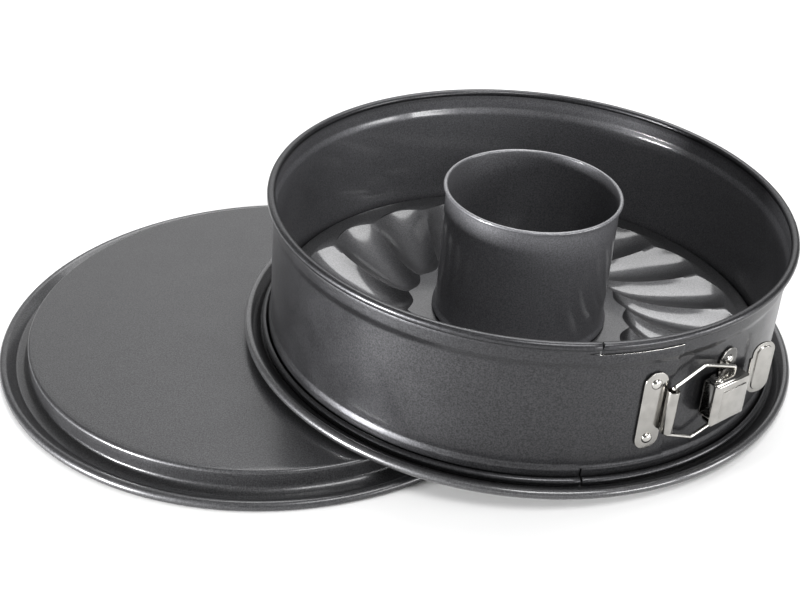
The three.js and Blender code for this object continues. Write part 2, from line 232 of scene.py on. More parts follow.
def makeCoat(name, coat):  # dark baked coating: metal flake under a clear skin, with grain and orange peel
    material, surface, links = startFinish(name, coat["metallic"])
    surface.inputs["Coat Weight"].default_value = coat["skin"]
    surface.inputs["Coat Roughness"].default_value = coat["skinGloss"]
    surface.inputs["Coat IOR"].default_value = finishForm["skinIor"]
    place = addNode(material, "ShaderNodeTexCoord", (-1200, 0))
    grain = addNoise(material, 200, coat["grain"], detail=3.0, roughness=0.6)
    patch = addNoise(material, -100, coat["patch"], detail=2.0, roughness=0.5)
    peel = addNoise(material, -400, coat["peel"], detail=1.0, roughness=0.5)
    for noise in (grain, patch, peel):
        links.new(place.outputs["Object"], noise.inputs["Vector"])
    addTone(material, grain, finishForm["coatSpread"], coat)
    addGloss(material, patch, coat)
    skin = addBump(material, -350, peel, coat["peelDepth"], finishForm["peelHeight"])
    fine = addBump(material, -150, grain, coat["grainDepth"], finishForm["grainHeight"])
    links.new(skin.outputs["Normal"], fine.inputs["Normal"])
    links.new(fine.outputs["Normal"], surface.inputs["Normal"])
    links.new(skin.outputs["Normal"], surface.inputs["Coat Normal"])
    return material


def makePlating(name, plating):  # bright nickel: faint drawn scratches and slightly uneven gloss
    material, surface, links = startFinish(name, 1.0)
    place = addNode(material, "ShaderNodeTexCoord", (-1400, 0))
    draw = addNode(material, "ShaderNodeMapping", (-1200, 150), Scale=plating["draw"])
    scratch = addNoise(material, 200, plating["scratch"], detail=4.0, roughness=0.7)
    cloud = addNoise(material, -150, plating["cloud"], detail=2.0, roughness=0.5)
    links.new(place.outputs["Object"], draw.inputs["Vector"])
    links.new(draw.outputs["Vector"], scratch.inputs["Vector"])
    links.new(place.outputs["Object"], cloud.inputs["Vector"])
    addTone(material, cloud, finishForm["platingSpread"], plating)
    addGloss(material, scratch, plating)
    skin = addBump(material, -350, scratch, plating["depth"], finishForm["grainHeight"])
    links.new(skin.outputs["Normal"], surface.inputs["Normal"])
    return material


plateCoat = makeCoat("plateCoat", {
    "dark": (0.020, 0.020, 0.0215), "light": (0.060, 0.060, 0.063),
    "metallic": 0.8, "gloss": (0.44, 0.52), "skin": 0.6, "skinGloss": 0.19,
    "grain": 1500, "patch": 45, "peel": 260, "grainDepth": 0.14, "peelDepth": 0.02,
})
fluteCoat = makeCoat("fluteCoat", {
    "dark": (0.032, 0.032, 0.034), "light": (0.080, 0.080, 0.083),
    "metallic": 0.8, "gloss": (0.40, 0.48), "skin": 0.9, "skinGloss": 0.11,
    "grain": 1500, "patch": 45, "peel": 260, "grainDepth": 0.12, "peelDepth": 0.02,
})
ringCoat = makeCoat("ringCoat", {
    "dark": (0.019, 0.019, 0.0206), "light": (0.046, 0.046, 0.049),
    "metallic": 0.9, "gloss": (0.38, 0.45), "skin": 0.3, "skinGloss": 0.12,
    "grain": 1300, "patch": 60, "peel": 320, "grainDepth": 0.10, "peelDepth": 0.03,
})
# a lighter copy of the coat, painted light on the faces towards the middle of the ring and in the tube's bore
paintedLightCoat = makeCoat("paintedLightCoat", {
    "dark": (0.074, 0.074, 0.079), "light": (0.145, 0.145, 0.155),
    "metallic": 0.6, "gloss": (0.44, 0.52), "skin": 0.8, "skinGloss": 0.12,
    "grain": 1400, "patch": 50, "peel": 300, "grainDepth": 0.10, "peelDepth": 0.02,
})
# a lighter copy of the coat, painted light on the centre tube, which stands inside the ring
tubePaintedLightCoat = makeCoat("tubePaintedLightCoat", {
    "dark": (0.090, 0.090, 0.096), "light": (0.165, 0.165, 0.176),
    "metallic": 0.5, "gloss": (0.44, 0.52), "skin": 0.8, "skinGloss": 0.12,
    "grain": 1400, "patch": 50, "peel": 300, "grainDepth": 0.10, "peelDepth": 0.02,
})
platePlating = makePlating("platePlating", {
    "dark": (0.29, 0.283, 0.268), "light": (0.38, 0.37, 0.35), "gloss": (0.11, 0.20),
    "draw": (1, 1, 12), "scratch": 420, "cloud": 130, "depth": 0.06,
})
# a darker copy of the plate plating, used as painted shade on the faces inside the latch
paintedShadePlating = makePlating("paintedShadePlating", {
    "dark": (0.085, 0.083, 0.080), "light": (0.14, 0.137, 0.131), "gloss": (0.2, 0.3),
    "draw": (1, 1, 12), "scratch": 420, "cloud": 130, "depth": 0.06,
})
wirePlating = makePlating("wirePlating", {
    "dark": (0.42, 0.41, 0.39), "light": (0.53, 0.518, 0.492), "gloss": (0.09, 0.16),
    "draw": (1, 1, 4), "scratch": 500, "cloud": 200, "depth": 0.04,
})
print("finishes made")

# camera where the photograph was taken from, lens and sensor in mm
cameraView = {
    "place": (-0.0022527, -0.6722856, 0.4449365),
    "turn": (58.04165, -0.54369, -0.05984),
    "lens": 67.5, "sensor": 36, "clip": 0.01,
}
bpy.ops.object.camera_add(location=cameraView["place"])
camera = bpy.context.object
camera.name = "photoCamera"
camera.rotation_euler = [math.radians(angle) for angle in cameraView["turn"]]
camera.data.lens = cameraView["lens"]
camera.data.sensor_width = cameraView["sensor"]
camera.data.clip_start = cameraView["clip"]
camera.data.dof.use_dof = False
bpy.context.scene.camera = camera

# both bases share one rolled rim; the sizes are of the middle of the sheet
rimForm = {
    "sheet": 0.7, "plate": 11.75, "wall": 128.5, "corner": 1.5,
    "channel": (134.9, 4.2), "floor": 0.35, "slope": 41, "slopeBend": 2.0,
    "roll": (141.7, 2.65), "rollRadius": 2.15, "wrap": 245, "wallRows": (8.0, 6.0),
    "bendSteps": 6, "rollSteps": 26,
}


def rimSection():
    wall, corner, floor = rimForm["wall"], rimForm["corner"], rimForm["floor"]
    bottom, depth = rimForm["channel"]  # its deepest radius, and where its inner side starts to curve
    slope, bend = rimForm["slope"], rimForm["slopeBend"]
    edge = (wall - corner, rimForm["plate"] - corner)
    turns = [math.radians(angle) for angle in range(0, 91, 6)]  # a quarter turn
    innerSide = [
        (bottom - (bottom - wall) * math.cos(turn), depth - (depth - floor) * math.sin(turn))
        for turn in turns
    ]
    steps = rimForm["bendSteps"]
    first, last = 90 + slope, 90 + slope - rimForm["wrap"]
    roll = roundPath(rimForm["roll"], rimForm["rollRadius"], first, last, rimForm["rollSteps"])
    rise = math.tan(math.radians(slope))
    foot = roll[0][0] - (roll[0][1] - floor) / rise  # where the outer slope would meet the floor
    centre = (foot - bend * math.tan(math.radians(slope / 2)), floor + bend)
    outerSide = roundPath(centre, bend, 270, 270 + slope, steps)
    upright = [(wall, height) for height in rimForm["wallRows"]]
    return [*roundPath(edge, corner, 90, 0, steps), *upright, *innerSide, *outerSide, *roll]


flatForm = {"place": (-64.25, 0.0, 0.0), "steps": 240, "rings": (0, 20, 45, 70, 95, 115, 124)}


def makeFlatBase():
    section = [(radius, rimForm["plate"]) for radius in flatForm["rings"]] + rimSection()
    base = drawLine("flatBase", [aroundPan(0, radius, height) for radius, height in section])
    spinSheet(360, flatForm["steps"])
    thicken(base, rimForm["sheet"])
    smoothFaces(base, sheetSmooth)
    setPlace(base, flatForm["place"], (0, 0, 0))
    fitPiece(base, "spare_base", "flat_base", plateCoat)


makeFlatBase()

fluteForm = {
    "count": 20, "columns": 16, "outer": 114, "inner": 59, "outerBulge": 5.4, "innerBulge": 3.5,
    "ridge": 5.4, "ridgeEnds": (6, 3), "valley": 8.9, "valleyEnds": (8, 4), "swirl": 34.5, "turn": 6.7,
    "middle": (44.6, 48, 51.5, 54), "margin": (121, 125), "nudge": 0.0005,
    "runs": (0, 0.008, 0.02, 0.035, 0.05, 0.07, 0.09, 0.12, 0.15, 0.19, 0.24, 0.30, 0.37, 0.45, 0.53,
             0.60, 0.67, 0.74, 0.80, 0.85, 0.89, 0.925, 0.955, 0.98, 0.992, 1),
}


def swirlTurn(radius):
    return math.acos(fluteForm["swirl"] / fluteForm["outer"]) - math.acos(fluteForm["swirl"] / radius)


def scoopShare(run, inner, outer):  # how deep a scoop is along its run, with a power for each end
    return (1 - (1 - run) ** inner) * (1 - run ** outer)


def pressFlutes(base):  # moves the plate's rings into the swirl of scoops
    outer, inner = fluteForm["outer"], fluteForm["inner"]
    for vertex in base.data.vertices:
        x, y, z = vertex.co / mm
        radius = math.hypot(x, y)
        if radius > outer + near:
            continue
        turn = math.atan2(x, -y)
        flute = math.degrees(turn) * fluteForm["count"] / 360 + fluteForm["count"]
        across = (flute + fluteForm["nudge"]) % 1  # nudged so that a ridge falls on one side
        bulge = math.sin(math.pi * across)
        run = min(1, max(0, (radius - inner) / (outer - inner)))
        start = inner - fluteForm["innerBulge"] * bulge
        end = outer + fluteForm["outerBulge"] * bulge
        reach = start + run * (end - start) if radius > inner - near else radius
        angle = turn + math.radians(fluteForm["turn"]) + swirlTurn(max(reach, inner))
        hollow = 1 - (2 * across - 1) ** 2
        ridge = fluteForm["ridge"] * scoopShare(run, *fluteForm["ridgeEnds"])
        valley = fluteForm["valley"] * scoopShare(run, *fluteForm["valleyEnds"])
        z -= ridge + (valley - ridge) * hollow
        vertex.co = Vector((reach * math.sin(angle), -reach * math.cos(angle), z)) * mm


def makeTubeBase():
    inner, outer = fluteForm["inner"], fluteForm["outer"]
    runs = [inner + run * (outer - inner) for run in fluteForm["runs"]]
    rings = [*fluteForm["middle"], *runs, *fluteForm["margin"]]
    section = [(radius, rimForm["plate"]) for radius in rings] + rimSection()
    base = drawLine("tubeBase", [aroundPan(0, radius, height) for radius, height in section])
    spinSheet(360, fluteForm["count"] * fluteForm["columns"])
    bpy.ops.object.mode_set(mode="OBJECT")
    pressFlutes(base)
    thicken(base, rimForm["sheet"])
    smoothFaces(base, sheetSmooth)
    leanOnRim(base)
    fitPiece(base, "pan_base", "tube_base", fluteCoat)


makeTubeBase()

tubeForm = {
    "sheet": 0.7, "wall": 43.95, "bore": 43.8, "steps": 160,
    "bead": (44.6, 83.0), "beadRadius": 0.68, "wrap": 275, "beadSteps": 18,
    "flange": ((47.0, 10.05), (45.0, 10.05), (44.3, 10.15), (44.0, 10.5)), "neckRows": (11.2, 12.4),
    "foot": ((44.25, 12.85), (44.9, 13.05), (45.3, 13.2), (45.55, 13.6), (45.5, 14.1), (45.2, 14.6),
             (44.6, 15.4), (44.15, 16.1)),
    "wallRows": (17.0, 30, 50, 70, 80),
}


def makeCentreTube():
    neck = [(tubeForm["wall"], up) for up in tubeForm["neckRows"]]
    wall = [(tubeForm["wall"], up) for up in tubeForm["wallRows"]]
    section = [*tubeForm["flange"], *neck, *tubeForm["foot"], *wall]
    end = 180 - tubeForm["wrap"]
    section += roundPath(tubeForm["bead"], tubeForm["beadRadius"], 180, end, tubeForm["beadSteps"])
    tube = drawLine("centreTube", [aroundPan(0, radius, height) for radius, height in section])
    spinSheet(360, tubeForm["steps"])
    thicken(tube, tubeForm["sheet"])
    smoothFaces(tube, sheetSmooth)
    leanOnRim(tube)
    fitPiece(tube, "pan_base", "centre_tube", tubePaintedLightCoat)


makeCentreTube()

# the ring: rolled lower edge, foot, wall, collar and rolled rim, along the middle of the sheet
ringForm = {
    "sheet": 0.6, "wall": 130.3, "foot": 131.2, "collar": 131.5,
    "lowRoll": (133.0, 3.1), "highRoll": (132.1, 76.9), "rollRadius": 1.8, "wrap": 275, "highStart": 212,
    "lapFoot": 9.3, "lapTop": 72.58, "lapOut": 0.9, "jogStart": 6.8, "seam": (8.8, 9.2), "lapEnd": 26.9,
    # where the lap's cut top edge is plated bright, a bare edge that is also a painted highlight: degrees
    # past the lap's end and mm from its top
    "lapCurl": {71.1: 0.03, 71.6: 0.09, 72.1: 0.18, 72.58: 0.28}, "lapClear": 0.7, "bareEdgeHighlight": (1, 0.4),
    "edge": 0.2, "sharp": 60, "back": (-153.1, 206.9), "steps": (160, 196), "lapSteps": 18, "rollSteps": 24,
    "jogShares": (0.05, 0.2, 0.5, 0.8, 0.95, 1.0),
    "footRows": (5.4, 7.7), "footBend": ((131.12, 8.2), (130.98, 8.7)), "lapFootRadius": 130.8,
    "wallBend": ((130.55, 10.0), (130.4, 10.45), (130.32, 10.9)), "wallRows": (11.5, 20, 34, 48, 58, 63.4),
    "collarBend": ((130.34, 64.2), (130.5, 64.9), (130.75, 65.7), (131.05, 66.6), (131.3, 67.3),
                   (131.44, 67.8)),
    # the next entry gives the heights and radius of the ring's inward faces that get the lighter coat as
    # painted light
    "collarRows": (68.5, 70.5), "collarTop": 73.9, "paintedLight": (9, 75, 131.3),
}


def ringSection():
    wall, foot, collar = ringForm["wall"], ringForm["foot"], ringForm["collar"]
    radius, wrap, steps = ringForm["rollRadius"], ringForm["wrap"], ringForm["rollSteps"]
    first = ringForm["highStart"]
    low = roundPath(ringForm["lowRoll"], radius, wrap - 180, -180, steps)
    high = roundPath(ringForm["highRoll"], radius, first, first - wrap, steps)
    return [
        *low,
        *[(foot, up) for up in ringForm["footRows"]],
        *ringForm["footBend"],
        (ringForm["lapFootRadius"], ringForm["lapFoot"]),
        *ringForm["wallBend"],
        *[(wall, up) for up in ringForm["wallRows"]],
        *ringForm["collarBend"],
        *[(collar, up) for up in (*ringForm["collarRows"], *ringForm["lapCurl"], ringForm["collarTop"])],
        *high,
    ]


def atTurn(angle):  # tells whether a point in mm lies at this angle round the ring
    def test(at):
        here = math.degrees(math.atan2(at.x, -at.y))
        return abs((here - angle + 180) % 360 - 180) < nearer
    return test


def turnEnd(angle):  # draws the selected end edges on round the ring
    pullOut((0, 0, 0))
    bpy.ops.transform.rotate(value=-math.radians(angle), orient_axis="Z", center_override=(0, 0, 0))


def stepOut(share):
    size = 1 + share * ringForm["lapOut"] / ringForm["wall"]
    bpy.ops.transform.resize(value=(size, size, 1), center_override=(0, 0, 0))


def softenEnds(band, back):  # rounds the cut edges of the sheet, but not where the halves meet at the back
    atBack = atTurn(back)
    pickPiece(band)
    bpy.ops.object.mode_set(mode="EDIT")
    bpy.ops.mesh.select_mode(type="EDGE")
    bpy.ops.mesh.select_all(action="DESELECT")
    bpy.ops.mesh.edges_select_sharp(sharpness=math.radians(ringForm["sharp"]))
    sheet = bmesh.from_edit_mesh(band.data)
    for edge in sheet.edges:
        if edge.select and atBack((edge.verts[0].co + edge.verts[1].co) / 2 / mm):
            edge.select_set(False)
    bmesh.update_edit_mesh(band.data)
    bpy.ops.mesh.bevel(offset=ringForm["edge"] * mm, segments=2, affect="EDGES")
    bpy.ops.object.mode_set(mode="OBJECT")


def makeBandLeft():
    start, jog, seam = ringForm["back"][0], ringForm["jogStart"], ringForm["seam"][0]
    section = [aroundPan(start, radius, height) for radius, height in ringSection()]
    band = drawLine("bandLeft", section)
    spinSheet(jog - start, ringForm["steps"][0])
    atJog = atTurn(jog)
    foot, top = ringForm["lapFoot"], ringForm["lapTop"]
    pickParts("EDGE", lambda at: atJog(at) and (at.z < foot or at.z > top))  # the rolls run on to the seam
    turnEnd(seam - jog)
    pickParts("EDGE", lambda at: atJog(at) and foot < at.z < top)  # the wall steps out and laps over
    shares = ringForm["jogShares"]
    for before, share in zip((0, *shares), shares):
        turnEnd((seam - jog) / len(shares))
        stepOut(share - before)
    for i in range(ringForm["lapSteps"]):
        turnEnd((ringForm["lapEnd"] - seam) / ringForm["lapSteps"])
    outside = ringForm["collar"] + ringForm["lapClear"]  # only the lap lies beyond this
    for row, curl in ringForm["lapCurl"].items():  # the lap's top edge closes on the other half
        pickParts("VERT", lambda at: abs(at.z - row) < near
                  and math.degrees(math.atan2(at.x, -at.y)) > seam - near
                  and math.hypot(at.x, at.y) > outside)
        stepOut(-curl / ringForm["lapOut"])
    bpy.ops.mesh.select_all(action="SELECT")
    bpy.ops.mesh.normals_make_consistent(inside=False)
    thicken(band, ringForm["sheet"])
    softenEnds(band, start)
    smoothFaces(band, sheetSmooth)
    leanOnRim(band)
    fitPiece(band, "ring_left", "band_left", ringCoat)


makeBandLeft()


def makeBandRight():
    start, end = ringForm["seam"][1], ringForm["back"][1]
    band = drawLine("bandRight", [aroundPan(start, radius, height) for radius, height in ringSection()])
    spinSheet(end - start, ringForm["steps"][1])
    thicken(band, ringForm["sheet"])
    softenEnds(band, end)
    smoothFaces(band, sheetSmooth)
    leanOnRim(band)
    fitPiece(band, "ring", "band_right", ringCoat)


makeBandRight()


def paintFaces(piece, finish, test):  # the test sees a face's middle and normal with the pan upright, in mm
    piece.data.materials.append(finish)
    lean = Matrix.Rotation(math.radians(panPose["lean"]), 4, "Y")
    toPan = (Matrix.Translation(Vector(panPose["centre"]) * mm) @ lean).inverted()
    for face in piece.data.polygons:
        if test(toPan @ face.center / mm, toPan.to_3x3() @ face.normal):
            face.material_index = len(piece.data.materials) - 1


def facesAxis(at, out):
    return out.x * at.x + out.y * at.y < 0


def inBore(at, out):
    return facesAxis(at, out) and math.hypot(at.x, at.y) < tubeForm["bore"]


def onPaintedLightSide(at, out):  # the side of the ring towards the cake, painted with the lighter coat as painted light
    low, high, radius = ringForm["paintedLight"]
    return facesAxis(at, out) and low < at.z < high and math.hypot(at.x, at.y) < radius


def onLapEdgeHighlight(at, out):  # the cut top edge of the lap, where the bare sheet shows; its bright plating is also a painted highlight along the edge
    turn = math.degrees(math.atan2(at.x, -at.y))
    past, reach = ringForm["bareEdgeHighlight"]  # degrees past the lap's end, mm from its top
    inLap = ringForm["seam"][0] < turn < ringForm["lapEnd"] + past
    return out.z > facing and abs(at.z - ringForm["lapTop"]) < reach and inLap


# the inward faces of the ring and the tube's bore get the lighter coat as painted light
paintFaces(bpy.data.objects["centreTube"], paintedLightCoat, inBore)
for name in ("bandLeft", "bandRight"):
    paintFaces(bpy.data.objects[name], paintedLightCoat, onPaintedLightSide)
# the lap's cut top edge gets bright plating, a bare edge and a painted highlight along it
paintFaces(bpy.data.objects["bandLeft"], platePlating, onLapEdgeHighlight)
print("ring and tube painted_lighter_inside")

# latch sizes: angles round the ring from the front, lengths along the wall, out from it and up
latchForm = {
    "height": 38.6, "sheet": 0.9, "wall": 130.6, "lap": 131.5,
    "plateWidth": 12.3, "plateLength": 42.3, "standOff": 0.75, "endGap": 0.02, "endSteps": 14,
    "edge": 0.2, "thinEdge": 0.15, "sharp": 50,
    "bailPlate": 21.9, "bracket": 41.0, "lever": 38.0, "rivets": 30.0,
    "eye": (25.4, 4.5), "pivot": (35.9, 6.6), "hook": (41.0, 5.2),
}


def latchPoint(name, frameAngle, frameRadius):  # a latch axis seen in the frame of one piece
    angle, standOff = latchForm[name]
    turn = math.radians(angle - frameAngle)
    radius = latchForm["wall"] + standOff
    return (radius * math.sin(turn), radius * math.cos(turn) - frameRadius)


def outAt(along, out, up):
    return (along, -out, up)


def startSheet(name, left, right, low, high, out):  # an upright sheet facing out of the wall
    clearPick()
    bpy.ops.mesh.primitive_plane_add(size=mm, rotation=(math.pi / 2, 0, 0))
    sheet = bpy.context.object
    sheet.name = name
    sheet.data.name = name
    sheet.scale = (right - left, high - low, 1)
    sheet.location = Vector(outAt((left + right) / 2, out, (low + high) / 2)) * mm
    bpy.ops.object.transform_apply(location=True, rotation=True, scale=True)
    bpy.ops.object.mode_set(mode="EDIT")
    return sheet


def roundCorners(width, steps):
    bpy.ops.mesh.bevel(offset=width * mm, offset_type="OFFSET", segments=steps, affect="VERTICES")


def makeOblong(name):  # the plate with round ends on either side of the seam
    half, tall = latchForm["plateWidth"] / 2, latchForm["plateLength"] / 2
    plate = startSheet(name, -half, half, -tall, tall, latchForm["standOff"])
    bpy.ops.mesh.select_all(action="SELECT")
    roundCorners(half - latchForm["endGap"], latchForm["endSteps"])  # the gap keeps two corners apart
    thicken(plate, latchForm["sheet"])
    softenEdges(plate, latchForm["edge"], 3, latchForm["sharp"])
    return plate


def joinPieces(first, others):
    pickPiece(first)
    for other in others:
        other.select_set(True)
    bpy.ops.object.join()


def shadeInside(piece, test):  # faces inside the latch, tested before the piece is hung, in mm, get a darker plating as painted shade
    piece.data.materials.append(paintedShadePlating)
    for face in piece.data.polygons:
        if test(face.center / mm, face.normal):
            face.material_index = 1


eyeForm = {"bore": 2.5, "sheet": 0.5, "height": 23.0, "wrap": 300, "steps": 26, "tongue": (3.1, 4.6, 5.8)}


def makeBailPlate():
    plate = makeOblong("bailPlate")
    eye = latchPoint("eye", latchForm["bailPlate"], latchForm["lap"])
    radius = eyeForm["bore"] + eyeForm["sheet"] / 2
    path = [(along, eye[1] - radius) for along in eyeForm["tongue"]]
    path += roundPath(eye, radius, -90, eyeForm["wrap"] - 90, eyeForm["steps"])
    tall = eyeForm["height"]
    curl = drawLine("bailEye", [outAt(along, out, -tall / 2) for along, out in path])
    bpy.ops.mesh.select_all(action="SELECT")
    pullOut((0, 0, tall))
    bpy.ops.mesh.select_all(action="SELECT")
    bpy.ops.mesh.normals_make_consistent(inside=False)
    thicken(curl, eyeForm["sheet"])
    softenEdges(curl, latchForm["thinEdge"], 2, latchForm["sharp"])
    joinPieces(plate, [curl])
    smoothFaces(plate, latchSmooth)
    hangOnWall(plate, latchForm["bailPlate"], latchForm["lap"], latchForm["height"])
    fitPiece(plate, "ring_left", "bail_plate", platePlating)


makeBailPlate()

earForm = {
    "radius": 2.9, "sheet": 1.0, "top": 9.65, "floor": 0.8, "floorOut": 0.72, "inset": 0.5, "fold": 0.9,
    "endGap": 0.05, "endSteps": 8,
}


def makeBracket():
    plate = makeOblong("leverBracket")
    pivot = latchPoint("pivot", latchForm["bracket"], latchForm["wall"])
    radius, top = earForm["radius"], earForm["top"] - earForm["sheet"] / 2
    left, right = pivot[0] - radius, latchForm["plateWidth"] / 2 - earForm["inset"]
    floor = startSheet("bracketFloor", left, right, -top, top, earForm["floorOut"])
    bpy.ops.mesh.select_all(action="SELECT")
    bpy.ops.mesh.bisect(plane_co=(Vector((pivot[0] + radius, 0, 0)) * mm), plane_no=(1, 0, 0))
    rise = pivot[1] + radius - earForm["floorOut"]
    for side in (1, -1):
        pickParts("EDGE", lambda at: abs(at.z - side * top) < near and at.x < pivot[0] + radius - wellIn)
        pullOut(outAt(0, rise, 0))
    pickParts("VERT", lambda at: abs(at.y + pivot[1] + radius) < near)
    roundCorners(radius - earForm["endGap"], earForm["endSteps"])
    pickParts("EDGE", lambda at: abs(abs(at.z) - top) < near and abs(at.y + earForm["floorOut"]) < near
              and at.x < pivot[0] + radius - wellIn)
    bpy.ops.mesh.bevel(offset=earForm["fold"] * mm, segments=3, affect="EDGES")
    bpy.ops.mesh.select_all(action="SELECT")
    bpy.ops.mesh.normals_make_consistent(inside=False)
    thicken(floor, earForm["floor"])
    softenEdges(floor, latchForm["thinEdge"], 2, latchForm["sharp"])
    joinPieces(plate, [floor])
    smoothFaces(plate, latchSmooth)
    plate.data.materials.append(platePlating)
    # the bracket's faces between the ears get the darker plating as painted shade
    shadeInside(plate, lambda at, out: abs(at.z) < top - wellIn)
    hangOnWall(plate, latchForm["bracket"], latchForm["wall"], latchForm["height"])
    fitPiece(plate, "ring", "lever_bracket", platePlating)


makeBracket()

rivetForm = {
    "shank": 1.5, "head": 2.7, "crown": 1.5, "seat": 1.18, "steps": 32,
    "lip": 0.1, "undercut": 0.15, "tailEdge": 0.12, "dome": (90, 75, 60, 45, 30, 18, 8, 0),
    "shortTail": (0.45, 0), "longTail": (2.1, 0.9),
}


def makeRivet(tail, tailHead):  # modelled along Z, then turned to point out of the wall; 0 for no second head
    shank, head, seat = rivetForm["shank"], rivetForm["head"], rivetForm["seat"]
    lip, edge = rivetForm["lip"], rivetForm["tailEdge"]
    dome = [
        (head * math.cos(math.radians(angle)), seat + rivetForm["crown"] * math.sin(math.radians(angle)))
        for angle in rivetForm["dome"]
    ]
    section = dome + [(head - rivetForm["undercut"], seat - lip), (shank, seat - lip)]
    if tailHead > 0:
        section += [(shank, -tail + tailHead), (head - lip, -tail + tailHead), (head, -tail + tailHead - lip)]
        section += [(head, -tail + edge), (head - edge, -tail), (0, -tail)]
    else:
        section += [(shank, -tail), (0, -tail)]
    rivet = drawLine("rivet", [(radius, 0, up) for radius, up in section])
    spinSheet(360, rivetForm["steps"])
    smoothFaces(rivet, turnedSmooth)
    setPlace(rivet, (0, 0, 0), (math.pi / 2, 0, 0))
    return rivet


def makeRivets(angle, radius, tail, pieces):
    first = makeRivet(*tail)
    for name, node, body, side in pieces:
        pickPiece(first)
        bpy.ops.object.duplicate(linked=False)
        rivet = bpy.context.object
        rivet.name = name
        rivet.data.name = name
        hangOnWall(rivet, angle, radius, latchForm["height"] + side * latchForm["rivets"] / 2)
        fitPiece(rivet, body, node, wirePlating)
    pickPiece(first)
    bpy.ops.object.delete()


makeRivets(latchForm["bailPlate"], latchForm["lap"], rivetForm["shortTail"], [
    ("bailPlateRivetUpper", "bail_plate_rivet_upper", "ring_left", 1),
    ("bailPlateRivetLower", "bail_plate_rivet_lower", "ring_left", -1),
])
makeRivets(latchForm["bracket"], latchForm["wall"], rivetForm["longTail"], [
    ("leverBracketRivetUpper", "lever_bracket_rivet_upper", "ring", 1),
    ("leverBracketRivetLower", "lever_bracket_rivet_lower", "ring", -1),
])

wireForm = {
    "radius": 1.0, "leg": 26.0, "width": 40.6, "cornerAt": 0.46, "end": 27.0, "hook": 8.6, "bend": 1.8,
    "bendSteps": 7, "roundSteps": 6,
}


def bentPath(points, bend, steps):  # rounds every inner corner of a path
    path = [Vector(points[0])]
    for before, here, after in zip(points, points[1:], points[2:]):
        here = Vector(here)
        inward, onward = (Vector(before) - here).normalized(), (Vector(after) - here).normalized()
        half = inward.angle(onward) / 2
        reach = bend / math.tan(half)
        centre = here + (inward + onward).normalized() * bend / math.sin(half)
        start, end = here + inward * reach - centre, here + onward * reach - centre
        arms = [start.slerp(end, i / steps) for i in range(steps + 1)]  # of length 1
        path += [centre + arm * bend for arm in arms]
    return path + [Vector(points[-1])]


def makeBail():
    eye = latchPoint("eye", latchForm["lever"], latchForm["wall"])
    hook = latchPoint("hook", latchForm["lever"], latchForm["wall"])

    def wireAt(share, up):
        along, out = (eye[i] + share * (hook[i] - eye[i]) for i in (0, 1))
        return outAt(along, out, up)

    def wireArm(side):
        return [
            wireAt(1, side * (wireForm["end"] - wireForm["hook"]) / 2),
            wireAt(1, side * wireForm["end"] / 2),
            wireAt(wireForm["cornerAt"], side * wireForm["width"] / 2),
            wireAt(0, side * wireForm["leg"] / 2),
        ]

    points = wireArm(1) + list(reversed(wireArm(-1)))
    wire = drawLine("bailWire", bentPath(points, wireForm["bend"], wireForm["bendSteps"]))
    bpy.ops.object.mode_set(mode="OBJECT")
    bpy.ops.object.convert(target="CURVE")
    wire = bpy.context.object
    wire.data.bevel_depth = wireForm["radius"] * mm
    wire.data.bevel_resolution = wireForm["roundSteps"]
    wire.data.use_fill_caps = True
    bpy.ops.object.convert(target="MESH")
    wire = bpy.context.object
    bpy.ops.object.mode_set(mode="EDIT")
    bpy.ops.mesh.select_all(action="SELECT")
    bpy.ops.mesh.remove_doubles(threshold=weldGap)
    bpy.ops.mesh.normals_make_consistent(inside=False)
    bpy.ops.object.mode_set(mode="OBJECT")
    smoothFaces(wire, wireSmooth)
    hangOnWall(wire, latchForm["lever"], latchForm["wall"], latchForm["height"])
    fitPiece(wire, "bail", "bail", wirePlating)


makeBail()

leverForm = {
    "sheet": 0.9, "face": 10.75, "left": -8.7, "right": 11.3, "half": 10.6, "lip": (-1.3, -1.5),
    "neckHalf": 6.5, "tabStart": (27.5, -1.55), "tabEnd": (41.0, 1.15), "tabHalf": 14.3, "tabCorner": 5.7,
    "tabBend": 2.4, "cheekFoot": 1.95, "cheekCorner": 4.4, "fold": 0.9,
    "tabSteps": 10, "cheekSteps": 8, "bendSteps": 6,
    "margin": 2.2, "emboss": 0.65, "embossSlope": 0.35, "sharp": 55,
}


